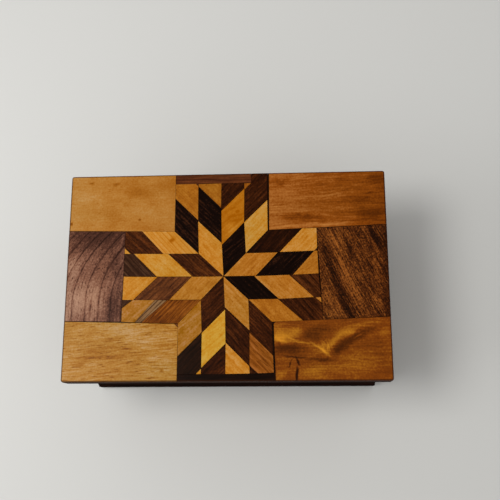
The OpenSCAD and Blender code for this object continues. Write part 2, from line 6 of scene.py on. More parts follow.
import bmesh
import bpy
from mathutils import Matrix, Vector


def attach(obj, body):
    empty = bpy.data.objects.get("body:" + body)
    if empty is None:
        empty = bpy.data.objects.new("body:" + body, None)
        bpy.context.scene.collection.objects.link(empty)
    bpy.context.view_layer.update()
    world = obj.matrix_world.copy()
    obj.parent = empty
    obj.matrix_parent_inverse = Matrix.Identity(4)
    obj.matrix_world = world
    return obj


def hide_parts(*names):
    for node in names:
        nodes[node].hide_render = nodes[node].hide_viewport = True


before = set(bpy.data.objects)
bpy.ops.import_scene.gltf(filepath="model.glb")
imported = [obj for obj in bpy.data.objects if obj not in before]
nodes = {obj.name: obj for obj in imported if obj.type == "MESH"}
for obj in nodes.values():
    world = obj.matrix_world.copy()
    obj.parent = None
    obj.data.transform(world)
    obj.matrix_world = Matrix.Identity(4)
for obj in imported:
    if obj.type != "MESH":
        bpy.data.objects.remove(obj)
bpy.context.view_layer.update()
bpy.context.scene.view_settings.view_transform = "Standard"

MM = 0.001
rng = random.Random(7)

# the lid, in millimetres: half its length and depth, its top, and the bed that the veneer lies on
LID_X, LID_Y = 100.0, 65.5
TOP, BED = 92.0, 90.0


def link(name, data):
    """A new object of this name in the scene."""
    piece = bpy.data.objects.new(name, data)
    bpy.context.scene.collection.objects.link(piece)
    return piece


# ---------------------------------------------------------------- materials


def linear(rgb):
    """An 8-bit screen colour as Blender's linear colour."""
    out = []
    for c in rgb:
        c = c / 255
        out.append(c / 12.92 if c <= 0.04045 else ((c + 0.055) / 1.055) ** 2.4)
    return (*out, 1.0)


class Graph:
    """A material and short calls that add nodes to it."""

    def __init__(self, name):
        self.mat = bpy.data.materials.new(name)
        self.mat.use_nodes = True
        self.tree = self.mat.node_tree
        self.bsdf = self.tree.nodes["Principled BSDF"]

    def add(self, kind, *inputs, **settings):
        node = self.tree.nodes.new(kind)
        for key, value in settings.items():
            setattr(node, key, value)
        for key, value in inputs:
            self.feed(node.inputs[key], value)
        return node

    def feed(self, socket, value):
        if isinstance(value, bpy.types.NodeSocket):
            self.tree.links.new(value, socket)
        else:
            socket.default_value = value

    def math(self, op, a, b=0.0, clamp=False):
        node = self.add("ShaderNodeMath", (0, a), (1, b), operation=op)
        node.use_clamp = clamp
        return node.outputs[0]

    def sum(self, base, *terms):
        """base plus each (value, amount)."""
        total = base
        for value, amount in terms:
            node = self.add(
                "ShaderNodeMath", (0, value), (1, amount), (2, total), operation="MULTIPLY_ADD"
            )
            total = node.outputs[0]
        return total

    def vector(self, op, a, b):
        node = self.add("ShaderNodeVectorMath", (0, a), (1, b), operation=op)
        return node.outputs["Vector"]

    def length(self, vector):
        return self.add("ShaderNodeVectorMath", (0, vector), operation="LENGTH").outputs["Value"]

    def times(self, vector, *factors):
        """The vector with each axis multiplied by its own factor, or all three by one."""
        return self.vector("MULTIPLY", vector, factors if len(factors) == 3 else factors * 3)

    def parts(self, vector):
        return self.add("ShaderNodeSeparateXYZ", (0, vector)).outputs

    def join(self, x, y, z):
        return self.add("ShaderNodeCombineXYZ", (0, x), (1, y), (2, z)).outputs[0]

    def place(self):
        """The point on the object, in metres."""
        return self.add("ShaderNodeTexCoord").outputs["Object"]

    def millimetres(self):
        """The point on the object, in millimetres."""
        return self.times(self.place(), 1 / MM)

    def attribute(self, name, output):
        return self.add("ShaderNodeAttribute", attribute_name=name).outputs[output]

    def noise(self, vector, detail=2.0, rough=0.5, twist=0.0):
        """Noise about zero, from about -0.5 to 0.5."""
        node = self.add(
            "ShaderNodeTexNoise",
            ("Vector", vector),
            ("Scale", 1.0),
            ("Detail", detail),
            ("Roughness", rough),
            ("Distortion", twist),
        )
        return self.math("SUBTRACT", node.outputs["Fac"], 0.5)

    def step(self, value, low, high):
        """0 at low and 1 at high, with a smooth rise between them."""
        ends = ("From Min", low), ("From Max", high)
        node = self.add("ShaderNodeMapRange", ("Value", value), *ends, interpolation_type="SMOOTHSTEP")
        return node.outputs[0]

    def ramp(self, value, stops):
        node = self.add("ShaderNodeValToRGB", (0, value))
        band = node.color_ramp
        while len(band.elements) < len(stops):
            band.elements.new(1.0)
        for element, (place, colour) in zip(band.elements, stops):
            element.position = place
            element.color = linear(colour)
        return node.outputs[0]

    def mix(self, share, a, b, blend="MIX"):
        node = self.add("ShaderNodeMix", data_type="RGBA", blend_type=blend)
        self.feed(node.inputs["Factor"], share)
        # 6 and 7 are the colour sockets
        self.feed(node.inputs[6], a)
        self.feed(node.inputs[7], b)
        return node.outputs[2]

    def bump(self, height, depth, strength):
        node = self.add(
            "ShaderNodeBump", ("Strength", strength), ("Distance", depth), ("Height", height)
        )
        self.feed(self.bsdf.inputs["Normal"], node.outputs[0])

    def shade(self, **values):
        names = {
            "colour": "Base Color",
            "rough": "Roughness",
            "metal": "Metallic",
            "specular": "Specular IOR Level",
            "coat": "Coat Weight",
            "coat_rough": "Coat Roughness",
            "sheen": "Sheen Weight",
            "sheen_rough": "Sheen Roughness",
            "sheen_tint": "Sheen Tint",
        }
        for key, value in values.items():
            self.feed(self.bsdf.inputs[names[key]], value)
        return self.mat


# ---------------------------------------------------------------- wood

# which of the model's axes run along, across and into a board whose grain runs along X or Y
GRAIN_AXES = {"X": (0, 1, 2), "Y": (1, 0, 2)}
# the growth rings' centre, beside and below a board, in millimetres
PITH = (9.0, -70.0)
# noise along, across and into the board, in cycles per millimetre, and a shift that keeps one noise from
# another; streaks, fibres, pores and blotches get what isn't here from their wood
WARP_NOISE = (0.018, 0.045, 0.045, 0.5)
YEAR_NOISE = (0.004, 0.06, 0.06, 31.0)
STREAK_ALONG, STREAK_SHIFT = 0.022, 7.0
FIBRE_ALONG, FIBRE_SHIFT = 0.09, 3.0
BLOTCH_LENGTH, BLOTCH_SHIFT = 0.7, 11.0
PORE_SHIFT = 19.0
CURL_ACROSS, CURL_INTO, CURL_SHIFT = 0.035, 0.1, 5.0
HUE_NOISE = (0.012, 0.03, 0.03, 43.0)
SPECK, WORN, STRAY = 0.9, 0.03, 0.22
RIB_NOISE = (1.1, 0.12, 0.0)
# noise seldom reaches its full range, so an amount is multiplied to fill the range of tones
STREAK_GAIN, FIBRE_GAIN, BLOTCH_GAIN, CURL_GAIN = 3.4, 6.0, 2.6, 2.0
# where a spot has faded out, as a share of its half sizes
SPOT_END = 1.35
# pores open where their noise is between these
PORE_LOW, PORE_HIGH = 0.10, 0.20
# where the four tones and the brightest one lie on the ramp, which is fed a share of the value
TONE_STOPS = (0.0, 0.24, 0.4, 0.64, 0.86)
RAMP_SHARE = 0.8
HUES = [(0.25, (255, 246, 232)), (0.5, (252, 252, 252)), (0.75, (242, 252, 255))]
# the brown of the dark joints, also laid along the lid's outline, where it is darker edge wood with painted
# shade on the rounded arris
JOINT_AND_ARRIS_BROWN = (47, 22, 9)
GRAIN_DEPTH = 0.06 * MM


def with_spots(g, place, value, spots):
    """The value with clouds, knots and figure laid on it.

    A spot is (x, y, length, width, turn, amount, stray) and may end with its ribs. Its middle and half sizes
    are in millimetres on the lid, and it is turned by degrees. Amount lightens or darkens it, stray moves its
    outline about, and ribs say how strongly fine lines break it up.
    """
    noise = g.add("ShaderNodeTexNoise", ("Vector", place), ("Scale", STRAY), ("Detail", 4.0))
    drift = g.vector("SUBTRACT", noise.outputs["Color"], (0.5, 0.5, 0.5))
    for x, y, length, width, turn, amount, stray, *ribs in spots:
        at = g.vector("ADD", place, g.times(drift, stray, stray, 0.0))
        at = g.vector("SUBTRACT", at, (x, y, TOP))
        angle = math.radians(-turn)
        at = g.add("ShaderNodeVectorRotate", ("Vector", at), ("Angle", angle), rotation_type="Z_AXIS")
        at = at.outputs[0]
        # it fades from its middle to a little beyond its half sizes
        near = g.step(g.length(g.times(at, 1 / length, 1 / width, 0.0)), SPOT_END, 0.0)
        if ribs:
            lines = g.noise(g.times(at, *RIB_NOISE))
            near = g.math("MULTIPLY", near, g.sum(1.0, (lines, ribs[0])))
        value = g.sum(value, (near, amount))
    return value


def wood(
    name,
    tones,
    axis=None,
    ring=(6.0, 3.0, 0.10),
    phase=0.0,
    uneven=2.2,
    wobble=5.0,
    bend=(0.0, 0.0),
    streak=(0.45, 0.16),
    fibre=(0.95, 0.08),
    pore=(1.6, 0.14, 0.0),
    blotch=(0.05, 0.12),
    curl=(0.0, 0.0),
    sheen_and_tone=(0.0, 0.0, 0.0),
    spots=(),
    hue=0.6,
    mottle=0.26,
    polish=0.40,
    varnish=0.025,
    specular=0.015,
):
    """Varnished wood. tones are four screen colours, from the deepest to the lightest.

    Without axis, the grain follows the pieces' own "wood" attribute, in millimetres along, across and into
    the board. With it, the grain runs along that axis of the model. The last number of ring, streak, fibre,
    pore, blotch and curl is an amount, a share of the range of tones. Before it stand the rings' spacing in
    millimetres and sharpness, and for the others cycles per millimetre: across for streak, fibre and blotch,
    across and then along for pore, along for curl. phase and uneven move the rings, as a share of their
    spacing, and wobble bends the grain, in millimetres. bend is a parabola's strength and how far before the
    middle it starts. sheen_and_tone lightens along X and Y, per 100 mm, and everywhere: its slope is painted
    sheen, lighter towards the left where the lamp's sheen falls, over the wood's own change in tone, and its
    last number lifts the whole wood. spots are those of with_spots.
    """
    g = Graph(name)
    place = g.millimetres()
    if axis is None:
        along, across, into = g.parts(g.attribute("wood", "Vector"))
    else:
        xyz = g.parts(place)
        along, across, into = (xyz[i] for i in GRAIN_AXES[axis])

    def in_grain(side, a, b, c, shift):
        """The point on the board for a noise, with its own frequency along, across and into it."""
        return g.join(
            g.sum(shift, (along, a)),
            g.math("MULTIPLY", side, b),
            g.math("MULTIPLY", into, c),
        )

    # the grain wanders, and may bend like a parabola
    side = g.sum(across, (g.noise(in_grain(across, *WARP_NOISE)), wobble))
    if bend[0]:
        above = g.math("MAXIMUM", g.math("ADD", along, bend[1]), 0.0)
        side = g.sum(side, (g.math("MULTIPLY", above, above), bend[0]))

    # growth rings: straight lines on the thin veneers, and round about the pith on the thick boards
    spacing, sharpness, depth = ring
    if axis is None:
        radius = side
    else:
        dy = g.math("SUBTRACT", side, PITH[0])
        dz = g.math("SUBTRACT", into, PITH[1])
        radius = g.math("SQRT", g.sum(g.math("MULTIPLY", dz, dz), (dy, dy)))
    unequal = g.noise(in_grain(side, *YEAR_NOISE), detail=1.0)
    years = g.sum(0.5 + phase, (radius, 1 / spacing), (unequal, uneven))
    line = g.math("MULTIPLY", g.math("PINGPONG", years, 0.5), 2.0)
    line = g.math("POWER", line, sharpness)

    across_streak, across_fibre, across_blotch = streak[0], fibre[0], blotch[0]
    streaks = g.noise(
        in_grain(side, STREAK_ALONG, across_streak, across_streak, STREAK_SHIFT), detail=3.0, rough=0.6
    )
    fibres = g.noise(in_grain(side, FIBRE_ALONG, across_fibre, across_fibre, FIBRE_SHIFT))
    blots = g.noise(
        in_grain(side, across_blotch * BLOTCH_LENGTH, across_blotch, across_blotch, BLOTCH_SHIFT),
        detail=3.0,
        twist=0.4,
    )
    value = g.sum(
        0.5,
        (line, -depth),
        (streaks, STREAK_GAIN * streak[1]),
        (fibres, FIBRE_GAIN * fibre[1]),
        (blots, BLOTCH_GAIN * blotch[1]),
        (g.noise(g.times(place, SPECK)), mottle),
    )
    pores = None
    if pore[2]:
        pores = g.noise(in_grain(side, pore[1], pore[0], pore[0], PORE_SHIFT), detail=1.0)
        pores = g.step(pores, PORE_LOW, PORE_HIGH)
        value = g.sum(value, (pores, -pore[2]))
    if curl[1]:
        bands = g.noise(in_grain(side, curl[0], CURL_ACROSS, CURL_INTO, CURL_SHIFT), detail=1.5)
        value = g.sum(value, (bands, CURL_GAIN * curl[1]))
    # painted sheen: the slope along X and Y lightens the wood towards the left, where the lamp's sheen falls,
    # on top of the wood's own change in tone; the last number lifts the whole wood
    if any(sheen_and_tone):
        x, y, _ = g.parts(place)
        value = g.sum(value, (x, sheen_and_tone[0] / 100), (y, sheen_and_tone[1] / 100))
        value = g.math("ADD", value, sheen_and_tone[2])
    if spots:
        value = with_spots(g, place, value, spots)
    if axis is None:
        value = g.math("ADD", value, g.attribute("tone", "Fac"))

    brightest = tuple(min(255, round(1.14 * c + 4)) for c in tones[-1])
    stops = list(zip(TONE_STOPS, [*tones, brightest]))
    colour = g.ramp(g.math("MULTIPLY", value, RAMP_SHARE), stops)
    if hue:
        shift = g.ramp(g.math("ADD", g.noise(in_grain(side, *HUE_NOISE)), 0.5), HUES)
        colour = g.mix(hue, colour, shift, "MULTIPLY")
    if axis is None:
        # joints and the lid's outline turn brown: dark joints, and along the outline darker edge wood with
        # painted shade on the rounded arris
        edge = g.math("MULTIPLY", g.attribute("edge", "Fac"), 0.9)
        colour = g.mix(edge, colour, linear(JOINT_AND_ARRIS_BROWN))

    worn = g.noise(g.times(place, WORN), detail=3.0)
    rough = g.sum(polish, (worn, 0.16), (fibres, 0.12))
    height = g.sum(0.0, (fibres, 0.6), (streaks, 0.6), (worn, 1.5))
    if pores is not None:
        rough = g.sum(rough, (pores, 0.2))
        height = g.sum(height, (pores, -0.5))
    g.bump(height, GRAIN_DEPTH, 0.8)
    return g.shade(colour=colour, rough=rough, specular=specular, coat=varnish, coat_rough=0.2)


# the deepest, dark, base and light tones of each wood on the lid, as screen colours
TONES = {
    "honey_wood": [(123, 69, 10), (151, 92, 25), (165, 112, 48), (178, 137, 83)],
    "orange_wood": [(60, 25, 2), (100, 46, 4), (132, 67, 11), (173, 109, 49)],
    "pale_wood": [(109, 59, 16), (147, 93, 25), (164, 117, 50), (180, 144, 100)],
    "figured_wood": [(42, 17, 4), (79, 36, 6), (118, 58, 11), (177, 112, 27)],
    "end_walnut": [(36, 19, 13), (76, 46, 35), (119, 79, 61), (160, 122, 99)],
    "end_golden": [(19, 7, 3), (43, 18, 5), (82, 40, 12), (142, 81, 30)],
    "border_brown": [(42, 16, 7), (62, 28, 13), (80, 40, 18), (114, 61, 31)],
    "border_black": [(3, 1, 0), (9, 3, 1), (19, 7, 3), (40, 19, 9)],
    "yellow": [(163, 91, 2), (177, 111, 21), (186, 129, 48), (192, 148, 87)],
    "golden": [(170, 104, 5), (181, 125, 28), (188, 143, 51), (194, 158, 79)],
    "amber": [(151, 82, 0), (172, 105, 20), (184, 124, 45), (194, 146, 85)],
    "rust": [(122, 62, 11), (151, 88, 18), (168, 106, 33), (184, 130, 69)],
    "olive": [(109, 60, 2), (138, 83, 2), (157, 102, 36), (174, 127, 89)],
    "sapele": [(62, 26, 4), (98, 48, 7), (131, 72, 17), (163, 99, 47)],
    "black": [(3, 0, 0), (9, 2, 0), (17, 5, 2), (70, 36, 17)],
    "dark": [(13, 4, 1), (31, 10, 2), (53, 22, 5), (98, 49, 17)],
    "brown": [(37, 17, 6), (64, 32, 14), (92, 50, 22), (132, 79, 44)],
    "grey": [(50, 31, 16), (89, 61, 36), (121, 88, 56), (143, 110, 76)],
    "slate": [(15, 6, 2), (31, 14, 5), (50, 27, 14), (86, 57, 38)],
}
TONES["knotty"] = TONES["striped"] = TONES["amber"]

# what wood() gets for each wood beside its tones
FIGURES = {}
FIGURES["honey_wood"] = dict(
    ring=(15.0, 2.0, 0.02),
    streak=(0.12, 0.045),
    fibre=(0.93, 0.03),
    blotch=(0.11, 0.15),
    pore=(0.9, 0.3, 0.08),
    mottle=0.42,
    sheen_and_tone=(-0.14, 0.0, -0.12),
    spots=[
        (-86.9, 60.6, 1.6, 1.0, 0, -0.34, 1.0),
        (-70.4, 59.6, 2.6, 1.3, 10, -0.32, 2.0),
        (-54.9, 35.9, 1.0, 0.9, 0, -0.55, 0.5),
        (-57.2, 53.5, 9.0, 2.8, -14, -0.11, 6.0),
        (-70.5, 48.2, 11.0, 2.4, -16, -0.13, 6.0),
        (-98.6, 33.7, 0.8, 1.0, 0, -1.2, 0.3),
        (-38.0, 60.0, 9.0, 3.0, 8, -0.06, 6.0),
        (-58.0, 57.5, 21.0, 6.0, -4, -0.13, 8.0),
        (-72.0, 41.0, 8.0, 8.5, 0, -0.09, 6.0),
        (-91.0, 52.0, 9.0, 7.0, 0, 0.11, 6.0),
        (-45.0, 41.0, 13.0, 9.0, 0, 0.08, 8.0),
    ],
)
FIGURES["orange_wood"] = dict(
    ring=(7.0, 2.0, 0.05),
    wobble=7.0,
    streak=(0.34, 0.10),
    fibre=(0.93, 0.07),
    blotch=(0.07, 0.10),
    mottle=0.36,
    sheen_and_tone=(-0.40, 0.0, 0.26),
    spots=[
        (34.0, 60.0, 9.0, 2.4, -8, -0.20, 6.0),
        (48.0, 36.0, 17.0, 2.4, -3, -0.26, 5.0),
        (92.0, 37.0, 10.0, 3.2, 4, -0.20, 5.0),
        (94.0, 60.0, 6.0, 4.0, 0, -0.15, 4.0),
        (60.0, 31.0, 30.0, 1.4, 3, 0.22, 3.0),
        (66.0, 50.5, 30.0, 2.2, 3, 0.14, 6.0),
        (90.5, 51.0, 5.0, 1.0, 5, -0.22, 5.0),
        (88.5, 47.0, 4.0, 0.9, 0, -0.20, 5.0),
    ],
)
FIGURES["pale_wood"] = dict(
    ring=(5.0, 2.0, 0.04),
    wobble=6.0,
    streak=(0.50, 0.09),
    fibre=(1.15, 0.12),
    blotch=(0.05, 0.15),
    pore=(1.5, 0.17, 0.36),
    mottle=0.42,
    hue=0.9,
    # painted sheen: lighter towards the left
    sheen_and_tone=(-0.10, 0.0, -0.07),
    spots=[
        (-60.5, -45.7, 3.0, 0.9, 0, -0.34, 2.0),
        (-80.7, -50.5, 11.0, 2.4, 4, -0.18, 5.0),
        (-89.1, -54.5, 6.0, 1.6, 8, -0.18, 4.0),
        (-38.6, -58.9, 1.4, 1.2, 20, -0.34, 1.0),
        (-62.0, -50.0, 14.0, 2.0, 6, -0.12, 5.0),
        (-45.0, -40.0, 16.0, 3.4, 12, 0.12, 6.0),
        (-79.0, -47.0, 17.0, 7.5, 6, -0.15, 8.0),
        (-62.0, -34.6, 15.0, 3.4, -4, 0.14, 6.0),
        (-45.0, -52.0, 12.0, 2.4, 33, 0.14, 4.0),
    ],
)
FIGURES["figured_wood"] = dict(
    ring=(5.5, 2.0, 0.04),
    wobble=8.0,
    streak=(0.7, 0.04),
    fibre=(1.05, 0.045),
    blotch=(0.08, 0.11),
    curl=(0.10, 0.05),
    mottle=0.30,
    spots=[
        (33.0, -39.5, 9.0, 4.6, 6, 0.36, 4.0),
        (33.0, -34.0, 6.0, 2.4, -16, 0.10, 4.0),
        (33.0, -41.0, 6.0, 1.6, -20, 0.20, 3.0),
        (59.0, -35.0, 8.0, 2.6, -4, -0.14, 4.0),
        (43.5, -35.5, 6.0, 3.4, -12, 0.26, 4.0),
        (45.0, -42.3, 6.5, 0.8, -8, 0.26, 2.0),
        (41.0, -40.4, 5.0, 0.7, -14, 0.16, 2.0),
        (38.0, -46.6, 12.0, 4.0, -6, -0.24, 6.0),
        (53.0, -38.5, 12.0, 4.0, -24, -0.18, 6.0),
        (56.0, -45.6, 8.0, 0.8, -36, 0.22, 2.0),
        (60.0, -48.6, 5.0, 1.2, -44, 0.22, 2.0, 1.6),
        (60.5, -44.6, 6.0, 5.5, 20, 0.20, 3.0, 3.8),
        (66.4, -40.6, 7.0, 1.8, 48, 0.14, 3.0, 1.6),
        (71.5, -36.8, 8.0, 3.6, 34, 0.10, 5.0, 1.4),
        (77.0, -35.0, 8.0, 3.4, 12, 0.16, 5.0),
        (72.0, -43.6, 10.0, 3.4, 30, -0.27, 4.0, 0.8),
        (67.0, -48.6, 4.0, 3.0, 30, -0.18, 3.0),
        (80.0, -38.8, 4.0, 0.6, 30, 0.22, 1.5),
        (83.5, -36.6, 9.0, 3.2, 24, -0.22, 5.0),
        (95.0, -37.5, 5.0, 4.0, 0, 0.16, 5.0),
        (41.5, -51.2, 8.0, 0.7, -2, -0.34, 2.0),
        (43.6, -53.6, 0.8, 3.4, 24, -0.50, 2.0),
        (38.8, -55.4, 0.7, 3.0, -22, -0.30, 2.0),
        (42.8, -62.0, 0.9, 5.0, -4, -0.90, 1.6),
        (57.0, -52.6, 11.0, 1.8, -4, -0.20, 5.0),
        (52.0, -60.0, 11.0, 5.0, 10, 0.12, 6.0),
        (33.5, -62.0, 6.0, 3.0, 30, 0.16, 4.0),
        (80.0, -56.0, 18.0, 8.0, 8, 0.06, 8.0),
    ],
)
FIGURES["end_walnut"] = dict(
    ring=(7.6, 8.0, 0.32),
    phase=-0.46,
    uneven=0.5,
    wobble=1.6,
    bend=(0.0108, 18.0),
    streak=(0.42, 0.045),
    fibre=(0.99, 0.06),
    pore=(1.3, 0.34, 0.28),
    blotch=(0.07, 0.10),
    mottle=0.5,
    spots=[
        (-90.0, -16.0, 15.0, 16.0, 0, 0.17, 8.0),
        (-77.0, -13.0, 9.0, 14.0, -10, 0.16, 7.0),
        (-96.0, 4.0, 5.0, 9.0, 0, 0.14, 5.0),
        (-65.4, 24.0, 1.2, 6.0, -8, 0.20, 0.6),
        (-68.0, 17.5, 2.2, 4.0, -30, 0.14, 2.0),
        (-69.0, 9.0, 3.2, 10.0, -12, -0.12, 4.0),
        (-71.0, -20.0, 8.0, 14.0, 0, -0.20, 5.0),
        (-82.0, 26.0, 26.0, 14.0, 0, -0.24, 6.0),
        (-92.5, -26.5, 6.0, 4.0, 0, -0.06, 3.0),
        (-84.0, -20.0, 1.1, 6.0, -6, -0.30, 2.0),
    ],
    # painted sheen: the left end is lighter towards the left and the front
    sheen_and_tone=(-0.42, -0.14, -0.365),
    polish=0.38,
)
FIGURES["end_golden"] = dict(
    ring=(4.5, 2.0, 0.08),
    wobble=5.0,
    streak=(1.05, 0.10),
    fibre=(1.45, 0.14),
    pore=(1.6, 0.34, 0.48),
    blotch=(0.09, 0.12),
    mottle=0.78,
    sheen_and_tone=(-0.10, 0.0, 0.095),
    spots=[
        (66.5, -2.0, 28.0, 2.8, -71, -0.24, 2.5),
        (75.0, -24.0, 10.0, 3.0, -70, -0.26, 2.0),
        (91.8, 23.0, 9.0, 2.8, -64, -0.34, 2.5),
        (99.0, 0.0, 4.0, 38.0, 0, -0.14, 3.0),
        (78.0, 12.5, 7.0, 2.2, -60, -0.18, 2.5),
        (73.5, 1.0, 27.0, 3.4, -67, 0.20, 3.0),
        (67.5, 20.0, 10.0, 1.6, -58, 0.16, 2.0),
        (63.0, -17.0, 11.0, 3.4, -74, 0.12, 2.5),
        (88.0, -12.0, 14.0, 2.4, -60, 0.08, 3.0),
    ],
)
FIGURES["border_brown"] = dict(
    ring=(4.0, 3.0, 0.10),
    streak=(0.6, 0.14),
    fibre=(0.93, 0.12),
)
FIGURES["border_black"] = dict(
    ring=(3.0, 3.0, 0.06),
    streak=(0.6, 0.12),
    fibre=(0.93, 0.10),
)
FIGURES["knotty"] = dict(
    ring=(4.0, 2.0, 0.06),
    wobble=3.0,
    streak=(0.4, 0.10),
    fibre=(0.87, 0.07),
    blotch=(0.12, 0.14),
    mottle=0.4,
    spots=[
        (7.3, 40.2, 1.5, 1.1, 0, -0.55, 0.8),
        (6.0, 37.6, 5.0, 0.9, 12, -0.26, 2.0),
        (5.6, 34.4, 4.6, 0.8, 8, -0.22, 2.0),
        (4.4, 42.4, 3.0, 0.8, 18, -0.20, 2.0),
        (3.2, 28.0, 5.0, 6.5, 0, 0.22, 2.0),
    ],
)
FIGURES["striped"] = dict(
    ring=(2.6, 4.0, 0.26),
    wobble=0.8,
    streak=(0.6, 0.10),
    fibre=(0.87, 0.07),
    mottle=0.34,
    spots=[(-34.1, 22.2, 1.6, 1.3, 0, -0.5, 0.8), (-34.1, 22.2, 4.0, 2.0, 45, -0.16, 1.0)],
)
FIGURES["sapele"] = dict(
    ring=(3.2, 3.0, 0.08),
    wobble=1.6,
    streak=(0.8, 0.11),
    fibre=(0.93, 0.14),
    pore=(1.3, 0.12, 0.26),
)
FIGURES["grey"] = dict(
    ring=(2.4, 3.0, 0.30),
    wobble=0.5,
    streak=(0.9, 0.14),
    fibre=(0.9, 0.12),
)
FIGURES["slate"] = dict(
    hue=0.3,
    ring=(2.6, 3.0, 0.16),
    wobble=1.5,
    streak=(0.9, 0.16),
    fibre=(0.99, 0.12),
)
# the light and the dark woods of the star
for name in ("yellow", "golden", "amber", "rust", "olive"):
    FIGURES[name] = dict(
        ring=(4.0, 2.0, 0.06),
        wobble=2.5,
        streak=(0.45, 0.10),
        fibre=(0.87, 0.07),
        blotch=(0.22, 0.20),
        pore=(1.0, 0.4, 0.12),
        mottle=0.5,
        hue=0.9,
    )
for name, streaks in (("black", 0.13), ("dark", 0.16), ("brown", 0.16)):
    FIGURES[name] = dict(
        ring=(3.6, 3.0, 0.12),
        wobble=2.0,
        streak=(0.6, streaks),
        fibre=(0.99, 0.10),
        pore=(1.5, 0.24, 0.20),
        mottle=0.40,
    )

WOODS = {name: wood(name, TONES[name], **figure) for name, figure in FIGURES.items()}

# ---------------------------------------------------------------- lid top

# the rounding of the lid's corners and of its upper arris
CORNER = 1.4
ARRIS = 0.6
# half the dark gap at a joint, and the fine chamfer beside it
SEAM = 0.05
CHAMFER = 0.10
# a point this near the lid's outline lies on it, a point this near it both ways belongs to a corner, and a
# side whose middle is this near it is an outer one
ON_EDGE, AT_CORNER, OUTER = 0.2, 2.0, 1.2
# the star's centre, the width of its strips, a piece's even length along its strip, and half an arm's width
CENTRE = (-1.9, -1.4)
STRIP = 14.6
SIDE = STRIP * math.sqrt(2)
HALF_ARM = 2 * STRIP
# how far the arms reach from the centre, then the lines of their sides and of their ends
REACH = {"left": 62.1, "right": 59.4, "back": 60.4, "front": 59.8}
LEFT, RIGHT = CENTRE[0] - HALF_ARM, CENTRE[0] + HALF_ARM
BACK, FRONT = CENTRE[1] + HALF_ARM, CENTRE[1] - HALF_ARM
STAR_BACK, STAR_FRONT = CENTRE[1] + REACH["back"], CENTRE[1] - REACH["front"]
STAR_LEFT, STAR_RIGHT = CENTRE[0] - REACH["left"], CENTRE[0] + REACH["right"]
# the clipped inner corners of the two front panels, and the width of the dark lines right of the star
CLIP_LEFT, CLIP_RIGHT = 2.3, 1.3
LINE = 0.9
# how much further back the right end panel's joints end at the lid's edge
SKEW = 0.4
# where the back border strip stops short
BORDER_END = 17.2
# points of an outline closer than this are one
NEAR = 0.05


def rise(value, start, length):
    """0 up to start, then rising evenly to 1 at start + length."""
    return min(1.0, max(0.0, (value - start) / length))


def wander(x, y):
    """The point (x, y), moved as its joint was cut by hand, the same for every piece that meets there.

    A point on the lid's outline stays on it, and its rounded corners stay whole. The front arm stands to the
    right and the back arm to the left, and the lines along X rise towards both ends.
    """
    if abs(x) > LID_X - AT_CORNER and abs(y) > LID_Y - AT_CORNER:
        return x, y
    dx = dy = 0.0
    if abs(x) <= LID_X - ON_EDGE:
        # everything in front leans to the right, but not at the lid's ends
        dx = min(1.9, 0.3 + 0.055 * max(0.0, -y)) * (1 - (x / LID_X) ** 4)
        # the left end, the right end and the star then have a lean of their own
        back, front = rise(y, 0, 28), rise(-y, 0, 28)
        if x < -45:
            dx -= 1.7 * front
        elif x > 45:
            dx -= 0.8 * (1 - front) + 0.4 * back
        else:
            dx -= 1.6 * back
        # the front arm's right side leans less near the star
        if 20 < x < 45 and y < -20:
            dx -= 0.9 * (LID_Y + y) / (LID_Y + FRONT)
        dx += math.sin(x * 1.37 + y * 2.11) * 0.10
    if abs(y) <= LID_Y - ON_EDGE:
        # the joints rise towards the left and the right, but not at the lid's long sides
        dy = 1.2 * rise(-x, 31, 69) + 2.3 * rise(x, 27, 73)
        dy *= 1 - (y / LID_Y) ** 4
        if y < -20:
            dy += 0.9 * rise(-x, 33, 31) if x < 0 else 0.7 * rise(x, 10, 20)
        dy += math.cos(x * 1.91 - y * 1.53) * 0.10
    return x + dx, y + dy


def is_outer(p, q):
    """Whether the side from p to q lies on the lid's outline."""
    x, y = (p[0] + q[0]) / 2, (p[1] + q[1]) / 2
    return abs(x) > LID_X - OUTER or abs(y) > LID_Y - OUTER


def offset(points, insets):
    """The outline moved inwards, each side by its own distance. Sides run from a point to the next."""
    count = len(points)
    lines = []
    for i, p in enumerate(points):
        q = points[(i + 1) % count]
        dx, dy = q[0] - p[0], q[1] - p[1]
        size = math.hypot(dx, dy)
        nx, ny = -dy / size, dx / size
        lines.append((p[0] + nx * insets[i], p[1] + ny * insets[i], dx / size, dy / size))
    out = []
    for i in range(count):
        x1, y1, dx1, dy1 = lines[i - 1]
        x2, y2, dx2, dy2 = lines[i]
        cross = dx1 * dy2 - dy1 * dx2
        if abs(cross) < 1e-6:
            out.append((x2, y2))
            continue
        t = ((x2 - x1) * dy2 - (y2 - y1) * dx2) / cross
        out.append((x1 + dx1 * t, y1 + dy1 * t))
    return out


def area(points):
    """The outline's area, negative where it runs clockwise."""
    return sum(p[0] * q[1] - q[0] * p[1] for p, q in zip(points, points[1:] + points[:1])) / 2


# how far a piece's wood is shifted along X and Y at most, in millimetres, how far its grain is turned, in
# degrees, and how much darker or lighter it gets
SHIFT, TURN, TINT = 400, 5, 0.06
# The rings of points that make a piece, from its bed to its top. Each has how far it lies inside a side on
# the lid's outline and inside a joint, its share of the drop below the top (None on the bed), and how dark
# it is at the outline and at a joint. The dark along the outline is darker edge wood with painted shade on
# the rounded arris. The last ring keeps the dark line narrow.
RINGS = (
    (0.0, SEAM, None, 1.0, 1.0),
    (0.0, SEAM, 1.0, 1.0, 0.5),
    (ARRIS * 0.29, SEAM + 0.03, 0.29, 0.9, 0.3),
    (ARRIS, SEAM + 0.10, 0.0, 0.85, 0.0),
    (ARRIS + 0.4, SEAM + 0.25, 0.0, 0.0, 0.0),
)


